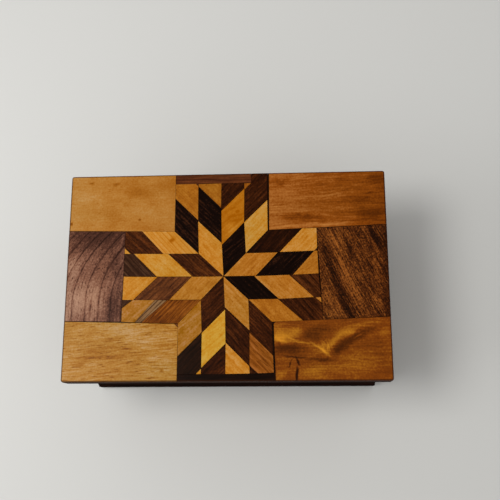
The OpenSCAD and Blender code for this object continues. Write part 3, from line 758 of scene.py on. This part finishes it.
def prism(name, points):
    """The piece's mesh: a prism with a chamfer at its joints and the lid's rounded arris outside."""
    count = len(points)
    outer = [is_outer(points[i], points[(i + 1) % count]) for i in range(count)]
    touches = [outer[i] or outer[i - 1] for i in range(count)]
    bm = bmesh.new()
    rows, darkness = [], []
    for at_outline, at_joint, below, dark_outline, dark_joint in RINGS:
        row = []
        ring = offset(points, [at_outline if o else at_joint for o in outer])
        for (x, y), touch in zip(ring, touches):
            z = BED if below is None else TOP - below * (ARRIS if touch else CHAMFER)
            row.append(bm.verts.new((x * MM, y * MM, z * MM)))
            darkness.append(dark_outline if touch else dark_joint)
        rows.append(row)
    for low, high in zip(rows, rows[1:]):
        for i in range(count):
            j = (i + 1) % count
            bm.faces.new((low[i], low[j], high[j], high[i]))
    bm.faces.new(rows[-1])
    bm.faces.new(rows[0][::-1])
    bmesh.ops.recalc_face_normals(bm, faces=bm.faces)
    mesh = bpy.data.meshes.new(name)
    bm.to_mesh(mesh)
    bm.free()
    mesh.attributes.new("edge", "FLOAT", "POINT").data.foreach_set("value", darkness)
    return mesh


def inlay(name, outline, species, grain, node, slot, tone=0.0, shifted=True):
    """One piece of the lid's veneer, with its grain at an angle in degrees from +X.

    A shifted piece is cut from a random place of its wood, the others from the lid's own place.
    """
    points = [wander(*p) for p in outline]
    if area(points) < 0:
        points.reverse()
    mesh = prism(name, points)
    cos, sin = math.cos(math.radians(grain)), math.sin(math.radians(grain))
    shift = (rng.uniform(-SHIFT, SHIFT), rng.uniform(-SHIFT, SHIFT)) if shifted else (0, 0)
    places = []
    for v in mesh.vertices:
        x, y, z = (c / MM for c in v.co)
        places += [cos * x + sin * y + shift[0], cos * y - sin * x + shift[1], z - TOP]
    mesh.attributes.new("wood", "FLOAT_VECTOR", "POINT").data.foreach_set("vector", places)
    tones = [tone] * len(mesh.vertices)
    mesh.attributes.new("tone", "FLOAT", "POINT").data.foreach_set("value", tones)
    mesh.materials.append(WOODS[species])
    piece = link(name, mesh)
    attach(piece, "lid")
    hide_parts(node)


def oblong(left, front, right, back):
    """A straight piece's outline, anticlockwise."""
    return [(left, front), (right, front), (right, back), (left, back)]


def rounded(x, y, sx, sy):
    """The lid's corner at (x, y), as points round its small radius, anticlockwise."""
    cx, cy = x - sx * CORNER, y - sy * CORNER
    start = math.degrees(math.atan2(sy, sx)) - 45
    turns = [math.radians(start + a) for a in (0, 22.5, 45, 67.5, 90)]
    return [(cx + CORNER * math.cos(t), cy + CORNER * math.sin(t)) for t in turns]


def cut_at(points, reach):
    """The part of a convex outline up to x = reach, without points that nearly meet."""
    out = []
    for p, q in zip(points, points[1:] + points[:1]):
        dp, dq = p[0] - reach, q[0] - reach
        if dp <= 0:
            out.append(p)
        if (dp < 0 < dq) or (dq < 0 < dp):
            t = dp / (dp - dq)
            out.append((p[0] + (q[0] - p[0]) * t, p[1] + (q[1] - p[1]) * t))
    clean = []
    for p in out:
        if not clean or math.dist(p, clean[-1]) > NEAR:
            clean.append(p)
    if math.dist(clean[0], clean[-1]) < NEAR:
        clean.pop()
    return clean


# Each arm has the way it points in degrees, whether it lies to the left of that, the side of the lid that it
# reaches, and the woods of its two strips from the centre outwards, the strip beside the star's axis first.
ARMS = {
    "up_left": (90, True, "back", [["amber", "black", "rust"], ["black", "rust", "brown"]]),
    "up_right": (90, False, "back", [["black", "knotty", "dark"], ["yellow", "dark", "rust"]]),
    "right_upper": (0, True, "right", [["rust", "black", "rust"], ["dark", "amber", "dark"]]),
    "right_lower": (0, False, "right", [["black", "rust", "dark"], ["rust", "dark", "rust"]]),
    "down_right": (270, True, "front", [["rust", "dark", "amber"], ["dark", "sapele", "dark"]]),
    "down_left": (270, False, "front", [["dark", "golden", "dark"], ["olive", "slate", "yellow"]]),
    "left_lower": (180, True, "left", [["rust", "brown", "amber"], ["sapele", "olive", "slate"]]),
    "left_upper": (180, False, "left", [["dark", "yellow", "slate"], ["striped", "dark", "yellow"]]),
}
# how far each diagonal joint stands from an even spacing, outwards along its arm
NUDGES = {
    "up_left": ((0.7, 2.8), (1.1, 2.9)),
    "up_right": ((-0.8, 1.0), (-0.8, 0.0)),
    "right_upper": ((-0.6, 1.5), (0.5, 1.5)),
    "right_lower": ((-1.9, -0.7), (-2.7, 0.0)),
    "down_right": ((-1.5, -0.6), (-0.5, -1.0)),
    "down_left": ((-0.1, 0.3), (-0.8, 0.6)),
    "left_lower": ((-1.1, -0.3), (0.3, 0.0)),
    "left_upper": ((-1.5, 0.3), (1.7, 2.4)),
}
# how much lighter than their wood some pieces are, or darker where it is below zero
SHADES = {
    "star_up_left_outer_2": -0.22,
    "star_right_upper_outer_1": -0.22,
    "star_down_left_outer_2": -0.22,
    "star_left_upper_inner_3": 0.08,
    "star_left_upper_inner_2": -0.06,
    "star_up_left_inner_3": -0.20,
    "star_up_right_inner_2": -0.34,
    "star_up_right_outer_3": -0.34,
    "star_left_lower_inner_3": -0.12,
    "star_right_lower_outer_1": -0.08,
    "star_right_lower_inner_1": -0.14,
    "star_right_upper_inner_2": -0.08,
    "star_right_upper_inner_3": -0.08,
    "star_right_lower_inner_3": 0.12,
    "star_left_lower_outer_1": -0.06,
}
# the piece that is long enough to reach the lid's back edge, where the border strip stops short
LONG_PIECE = "star_up_right_outer_2"
# the piece with a grey strip let into its inner end, and that strip's width at its two sides
REPAIRED = "star_left_lower_outer_2"
REPAIR_LOW, REPAIR_HIGH = 7.4, 4.0
# an arm's last piece is left out where less than this of it would show
SHORTEST = 1.5


def arm_frame(angle, left):
    """What turns an arm's own (along, out) into the lid's (x, y), and its diagonals' direction in degrees."""
    turn = math.radians(angle)
    cos, sin = round(math.cos(turn)), round(math.sin(turn))
    mirror = 1 if left else -1

    def to_lid(p):
        x, y = p[0], p[1] * mirror
        return (CENTRE[0] + cos * x - sin * y, CENTRE[1] + sin * x + cos * y)

    direction = to_lid((1, 1))
    grain = math.degrees(math.atan2(direction[1] - CENTRE[1], direction[0] - CENTRE[0]))
    return to_lid, grain


def run_to_back(outline):
    """The outline with its end at the border strip carried on to the lid's back edge."""
    at_border = [p for p in outline if abs(p[1] - STAR_BACK) < 0.01]
    left, right = min(at_border), max(at_border)
    out = []
    for p in outline:
        if p == right:
            corners = [(BORDER_END, LID_Y), (right[0], LID_Y)]
            out += corners if out and out[-1] == left else corners[::-1]
        else:
            out.append(p)
    return out


def build_arm(arm, angle, left, side, strips):
    """The parallelograms of an arm's two strips, cut off where the star ends."""
    reach = REACH[side]
    to_lid, grain = arm_frame(angle, left)
    # light and dark pieces take turns in a strip, and the two strips start with different ones
    first_light = 0 if left else 1
    for j, woods in enumerate(strips):
        low, high = j * STRIP, (j + 1) * STRIP
        last = int((reach - low - SHORTEST) // SIDE)
        between = [k * SIDE + NUDGES[arm][j][k - 1] for k in range(1, last + 1)]
        joints = [0.0, *between, reach + STRIP]
        for k, species in enumerate(woods[: last + 1]):
            start, end = joints[k], joints[k + 1]
            shape = [(start + low, low), (end + low, low), (end + high, high), (start + high, high)]
            if k == 0 and j == 0:
                shape = [(0, 0), (end, 0), (end + high, high), (high, high)]
            outline = [to_lid(p) for p in cut_at(shape, reach)]
            tint = "light" if (k + j) % 2 == first_light else "dark"
            node, slot = f"star_{arm}_{tint}", f"star_{tint}"
            name = f"star_{arm}_{'inner' if j == 0 else 'outer'}_{k + 1}"
            if name == LONG_PIECE:
                outline = run_to_back(outline)
            if name == REPAIRED:
                cut = [
                    to_lid((start + low, low)),
                    to_lid((start + low + REPAIR_LOW, low)),
                    to_lid((start + high + REPAIR_HIGH, high)),
                    to_lid((start + high, high)),
                ]
                inlay("star_left_lower_repair", cut, "grey", grain, node, slot)
                outline = [cut[1], *outline[1:-1], cut[2]]
            turned = grain + rng.uniform(-TURN, TURN)
            tone = rng.uniform(-TINT, TINT) + SHADES.get(name, 0.0)
            inlay(name, outline, species, turned, node, slot, tone)


for arm, plan in ARMS.items():
    build_arm(arm, *plan)


# the panels, whose spots keep their place on the lid: name, outline, wood, grain and node
PANELS = (
    (
        "panel_honey",
        [(-LID_X, BACK), (LEFT, BACK), (LEFT, LID_Y), *rounded(-LID_X, LID_Y, -1, 1)],
        ("honey_wood", 0, "panel_back_left"),
    ),
    (
        "panel_orange",
        [(RIGHT + LINE, BACK), (LID_X, BACK + SKEW), *rounded(LID_X, LID_Y, 1, 1), (RIGHT + LINE, LID_Y)],
        ("orange_wood", 2, "panel_back_right"),
    ),
    (
        "panel_pale",
        [
            *rounded(-LID_X, -LID_Y, -1, -1),
            (LEFT, -LID_Y),
            (LEFT, FRONT - CLIP_LEFT),
            (LEFT - CLIP_LEFT, FRONT),
            (-LID_X, FRONT),
        ],
        ("pale_wood", 4, "panel_front_left"),
    ),
    (
        "panel_figured",
        [
            (RIGHT + LINE, -LID_Y),
            *rounded(LID_X, -LID_Y, 1, -1),
            (LID_X, FRONT + SKEW),
            (RIGHT + LINE + CLIP_RIGHT, FRONT),
            (RIGHT + LINE, FRONT - CLIP_RIGHT),
        ],
        ("figured_wood", 0, "panel_front_right"),
    ),
    (
        "panel_left_walnut",
        oblong(-LID_X, FRONT, STAR_LEFT, BACK),
        ("end_walnut", 90, "panel_left_end"),
    ),
    (
        "panel_right_golden",
        [(STAR_RIGHT, FRONT), (LID_X, FRONT + SKEW), (LID_X, BACK + SKEW), (STAR_RIGHT, BACK)],
        ("end_golden", -62, "panel_right_end"),
    ),
)
# the lines right of the star, the fillings of the clipped corners and the border strips, with their slot
STRIPS = (
    (
        "line_back",
        oblong(RIGHT, BACK, RIGHT + LINE, LID_Y),
        ("border_black", 90, "panel_back_right", "orange_wood"),
    ),
    (
        "line_front",
        oblong(RIGHT, -LID_Y, RIGHT + LINE, FRONT),
        ("border_black", 90, "panel_front_right", "figured_wood"),
    ),
    (
        "corner_front_left",
        [(LEFT - CLIP_LEFT, FRONT), (LEFT, FRONT - CLIP_LEFT), (LEFT, FRONT)],
        ("brown", 45, "panel_front_left", "pale_wood"),
    ),
    (
        "corner_front_right",
        [(RIGHT + LINE, FRONT - CLIP_RIGHT), (RIGHT + LINE + CLIP_RIGHT, FRONT), (RIGHT + LINE, FRONT)],
        ("dark", 45, "panel_front_right", "figured_wood"),
    ),
    (
        "border_back_strip",
        oblong(LEFT, STAR_BACK, BORDER_END, LID_Y),
        ("border_brown", 0, "border_back", "border_brown"),
    ),
    (
        "border_front_strip",
        oblong(LEFT, -LID_Y, RIGHT, STAR_FRONT),
        ("border_black", 0, "border_front", "border_black"),
    ),
)
for name, outline, (species, grain, node) in PANELS:
    inlay(name, outline, species, grain, node, species, shifted=False)
for name, outline, (species, grain, node, slot) in STRIPS:
    inlay(name, outline, species, grain, node, slot)

# ---------------------------------------------------------------- metals and cloth

BRUSH_DEPTH = 0.03 * MM
NAP_DEPTH = 0.4 * MM


def metal(name, colour, dull, rough):
    """Brushed metal with a little tarnish. The brush ran along X."""
    g = Graph(name)
    place = g.millimetres()
    brush = g.noise(g.times(place, 0.2, 6.0, 6.0), detail=3.0)
    stain = g.noise(g.times(place, 0.25), detail=4.0, rough=0.6)
    tarnish = g.step(stain, -0.02, 0.22)
    colour = g.mix(g.math("MULTIPLY", tarnish, 0.7), linear(colour), linear(dull))
    g.bump(g.sum(0.0, (brush, 1.0), (stain, 0.6)), BRUSH_DEPTH, 0.5)
    rough = g.sum(rough, (brush, 0.10), (tarnish, 0.16))
    return g.shade(colour=colour, metal=1.0, rough=rough)


def felt(name, colour, shade):
    """Wool felt with its nap brushed unevenly."""
    g = Graph(name)
    place = g.millimetres()
    nap = g.noise(g.times(place, 2.4), detail=4.0, rough=0.7)
    brushed = g.noise(g.times(place, 0.05, 0.09, 0.05))
    light = g.math("ADD", g.sum(0.45, (nap, 0.9), (brushed, 1.2)), 0.0, clamp=True)
    g.bump(nap, NAP_DEPTH, 0.7)
    return g.shade(
        colour=g.mix(light, linear(shade), linear(colour)),
        rough=0.95,
        specular=0.0,
        sheen=0.12,
        sheen_rough=0.5,
        sheen_tint=linear(colour),
    )


BRASS = metal("brass", (222, 180, 104), (128, 88, 46), 0.28)
STEEL = metal("steel", (190, 190, 192), (120, 112, 104), 0.34)
VELVET = felt("velvet", (119, 25, 30), (60, 9, 15))

# ---------------------------------------------------------------- case and fittings

# how the case's woods look, with their tones from the deepest to the lightest
CASE_WOODS = {
    "walnut": dict(
        tones=[(28, 13, 6), (51, 27, 14), (78, 46, 25), (111, 70, 42)],
        ring=(7.0, 3.0, 0.22),
        streak=(0.5, 0.16),
        pore=(1.5, 0.14, 0.16),
    ),
    "plinth": dict(
        tones=[(3, 1, 0), (11, 4, 1), (23, 7, 3), (44, 21, 10)],
        ring=(5.0, 3.0, 0.16),
        streak=(0.7, 0.14),
        polish=0.42,
        specular=0.0,
        varnish=0.06,
    ),
    "core": dict(
        tones=[(11, 4, 2), (26, 10, 5), (42, 20, 9), (66, 36, 19)],
        ring=(5.0, 3.0, 0.20),
        streak=(0.6, 0.16),
        specular=0.0,
        varnish=0.06,
    ),
    "plain": dict(
        tones=[(125, 83, 39), (157, 110, 59), (180, 138, 90), (193, 159, 120)],
        ring=(9.0, 3.0, 0.18),
        streak=(0.4, 0.12),
        varnish=0.05,
        polish=0.55,
    ),
    "maple": dict(
        tones=[(157, 106, 46), (179, 133, 78), (192, 155, 108), (199, 172, 137)],
        ring=(5.0, 3.0, 0.10),
        streak=(0.5, 0.08),
        curl=(0.16, 0.05),
    ),
}
# the boards of each wood, by the axis that their grain runs along
BOARDS = {
    ("walnut", "X"): ("front_wall", "back_wall"),
    ("walnut", "Y"): ("left_wall", "right_wall"),
    ("plinth", "X"): ("plinth_front", "plinth_back", "groove_plug"),
    ("plinth", "Y"): ("plinth_left", "plinth_right", "right_rail"),
    ("core", "X"): ("lid_board",),
    ("plain", "X"): ("base_board", "base_cover"),
    ("maple", "X"): ("band_front", "keyhole_slide", "band_back"),
    ("maple", "Y"): ("band_left", "band_right"),
}
# the metal pieces, with their bevel's width in millimetres and its segments
FITTINGS = (
    (BRASS, 0.12, 2, ("plinth_hook", "key", "lock_plate", "lock_cap")),
    (BRASS, 0.12, 2, ("hinge_leaves_box", "hinge_leaves_lid", "hinge_pins")),
    (BRASS, 0.05, 1, ("lock_screws", "catch_screws", "hinge_screws_box", "hinge_screws_lid")),
    (STEEL, 0.10, 2, ("lock_bolt", "lock_pin", "lid_catch", "slide_stop_pin")),
    (STEEL, 0.0, 0, ("lock_spring",)),
)
BOARD_BEVEL = 0.35
# points closer than this are one, faces within this angle are flat, and arrises above this one are bevelled
WELD = 0.01 * MM
FLAT, SHARP = math.radians(1), math.radians(35)


def dress(name, material, width, segments):
    """Gives a CAD node its finish, and softens its arrises where the bevel has a width."""
    piece = nodes[name]
    piece.data.materials.clear()
    piece.data.materials.append(material)
    weld = piece.modifiers.new("Weld", "WELD")
    weld.merge_threshold = WELD
    if not width:
        return
    flat = piece.modifiers.new("Flat", "DECIMATE")
    flat.decimate_type = "DISSOLVE"
    flat.angle_limit = FLAT
    bevel = piece.modifiers.new("Arris", "BEVEL")
    bevel.width = width * MM
    bevel.segments = segments
    bevel.limit_method = "ANGLE"
    bevel.angle_limit = SHARP
    bevel.harden_normals = False


for (kind, axis), names in BOARDS.items():
    material = wood(f"{kind}_{axis.lower()}", axis=axis, **CASE_WOODS[kind])
    for name in names:
        dress(name, material, BOARD_BEVEL, 2)
for material, width, segments, names in FITTINGS:
    for name in names:
        dress(name, material, width, segments)

# ---------------------------------------------------------------- felt lining

# half the size of the box's floor, and the heights of the felt's underside and top, in millimetres
FLOOR_X, FLOOR_Y = 83.0, 48.5
FELT_LOW, FELT_HIGH = 13.03, 13.9
# the play all round it, how far its top stays below the full height, and its steps along X and Y
FELT_PLAY = 0.05
FELT_SPARE = 0.05
FELT_STEPS = 84, 50
# how much the felt swells, how rough it is, and how far and how fast it turns down at its edge
SWELL, NAP = 0.05, 0.02
EDGE_FALL, EDGE_WIDTH = 0.16, 0.9


def felt_height(x, y):
    """The height of the felt's top over the point (x, y), without its nap."""
    inside = min(FLOOR_X - abs(x), FLOOR_Y - abs(y))
    swell = SWELL * math.sin(x * 0.11 + 1.0) * math.sin(y * 0.15)
    return FELT_HIGH - FELT_SPARE + swell - EDGE_FALL * math.exp(-inside / EDGE_WIDTH)


def lining():
    """A cut sheet of felt laid on the floor, a little uneven and turned down at its edge."""
    nx, ny = FELT_STEPS
    bm = bmesh.new()
    sheets = []
    for top in (False, True):
        rows = []
        for j in range(ny + 1):
            row = []
            for i in range(nx + 1):
                x = (i / nx * 2 - 1) * (FLOOR_X - FELT_PLAY)
                y = (j / ny * 2 - 1) * (FLOOR_Y - FELT_PLAY)
                nap = rng.uniform(-NAP, NAP)
                z = felt_height(x, y) + nap if top else FELT_LOW
                row.append(bm.verts.new((x * MM, y * MM, z * MM)))
            rows.append(row)
        sheets.append(rows)
    low, high = sheets
    for j in range(ny):
        for i in range(nx):
            bm.faces.new((high[j][i], high[j][i + 1], high[j + 1][i + 1], high[j + 1][i]))
            bm.faces.new((low[j][i], low[j + 1][i], low[j + 1][i + 1], low[j][i + 1]))
    for i in range(nx):
        bm.faces.new((low[0][i], low[0][i + 1], high[0][i + 1], high[0][i]))
        bm.faces.new((low[ny][i + 1], low[ny][i], high[ny][i], high[ny][i + 1]))
    for j in range(ny):
        bm.faces.new((low[j + 1][0], low[j][0], high[j][0], high[j + 1][0]))
        bm.faces.new((low[j][nx], low[j + 1][nx], high[j + 1][nx], high[j][nx]))
    mesh = bpy.data.meshes.new("felt_lining")
    bm.to_mesh(mesh)
    bm.free()
    for p in mesh.polygons:
        p.use_smooth = p.normal.z > 0.5
    mesh.materials.append(VELVET)
    piece = link("felt_lining", mesh)
    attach(piece, "box")
    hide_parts("floor_lining")


lining()

# ---------------------------------------------------------------- table, room, lamps and camera

# half the side of the table top, in metres
TABLE = 3.0
# the room's light at the height of the box and overhead
LOW_LIGHT, HIGH_LIGHT = 1.11, 0.30


def table():
    """A plain table top, painted lighter towards the back and the right to shape the lamps' light on it."""
    mesh = bpy.data.meshes.new("table")
    corners = [(-TABLE, -TABLE, 0), (TABLE, -TABLE, 0), (TABLE, TABLE, 0), (-TABLE, TABLE, 0)]
    mesh.from_pydata(corners, [], [(0, 1, 2, 3)])
    g = Graph("table")
    place = g.place()
    cloud = g.noise(g.times(place, 3.0))
    x, y, _ = g.parts(place)
    # painted light: the colour rises towards the right and the back
    light = g.math("ADD", g.sum(0.47, (cloud, 0.08), (x, 0.21), (y, 0.85)), 0.0, clamp=True)
    colour = g.mix(light, linear((190, 190, 188)), linear((214, 214, 212)))
    mesh.materials.append(g.shade(colour=colour, rough=0.65, specular=0.2))
    link("table", mesh)


def room():
    """A room that is darker overhead than at the sides, so that the varnish stays deep.

    The camera, reflections and glass see a plain backdrop in its place.
    """
    world = bpy.data.worlds.new("room")
    bpy.context.scene.world = world
    world.use_nodes = True
    tree = world.node_tree
    tree.nodes.clear()
    add, join = tree.nodes.new, tree.links.new

    split = add("ShaderNodeSeparateXYZ")
    join(add("ShaderNodeTexCoord").outputs["Generated"], split.inputs[0])
    height = add("ShaderNodeMapRange")
    height.inputs["To Min"].default_value = LOW_LIGHT
    height.inputs["To Max"].default_value = HIGH_LIGHT
    join(split.outputs[2], height.inputs["Value"])
    light = add("ShaderNodeBackground")
    light.inputs["Color"].default_value = (1.0, 0.99, 0.97, 1)
    join(height.outputs[0], light.inputs["Strength"])
    backdrop = add("ShaderNodeBackground")
    backdrop.inputs["Color"].default_value = linear((205, 204, 200))

    ray = add("ShaderNodeLightPath")
    plain = ray.outputs["Is Camera Ray"]
    for kind in ("Is Glossy Ray", "Is Transmission Ray"):
        total = add("ShaderNodeMath")
        total.operation = "ADD"
        total.use_clamp = True
        join(plain, total.inputs[0])
        join(ray.outputs[kind], total.inputs[1])
        plain = total.outputs[0]
    mix = add("ShaderNodeMixShader")
    join(plain, mix.inputs[0])
    join(light.outputs[0], mix.inputs[1])
    join(backdrop.outputs[0], mix.inputs[2])
    join(mix.outputs[0], add("ShaderNodeOutputWorld").inputs["Surface"])


def lamp(name, place, size, power, aim, colour=(1, 1, 1)):
    """A round lamp of this diameter in metres and power in watts, turned to its aim."""
    data = bpy.data.lights.new(name, "AREA")
    data.shape = "DISK"
    data.size = size
    data.energy = power
    data.color = colour
    piece = link(name, data)
    piece.location = place
    piece.rotation_mode = "QUATERNION"
    piece.rotation_quaternion = (Vector(aim) - Vector(place)).to_track_quat("-Z", "Y")


def camera():
    """The photograph's camera, above the lid and a little in front of it."""
    data = bpy.data.cameras.new("camera")
    data.lens = 54.0
    data.sensor_width = 36.0
    view = link("camera", data)
    view.location = (0.04005, -0.09674, 0.54396)
    view.rotation_euler = [math.radians(a) for a in (13.87, 3.20, -0.09)]
    bpy.context.scene.camera = view


table()
room()
lamp("window", (-0.37, -0.03, 0.88), 0.34, 3.8, aim=(0, 0, 0.05), colour=(1.0, 0.99, 0.96))
lamp("side_fill", (-0.72, -0.15, 0.52), 0.5, 2.35, aim=(-0.1, 0, 0))
camera()

bpy.context.view_layer.update()
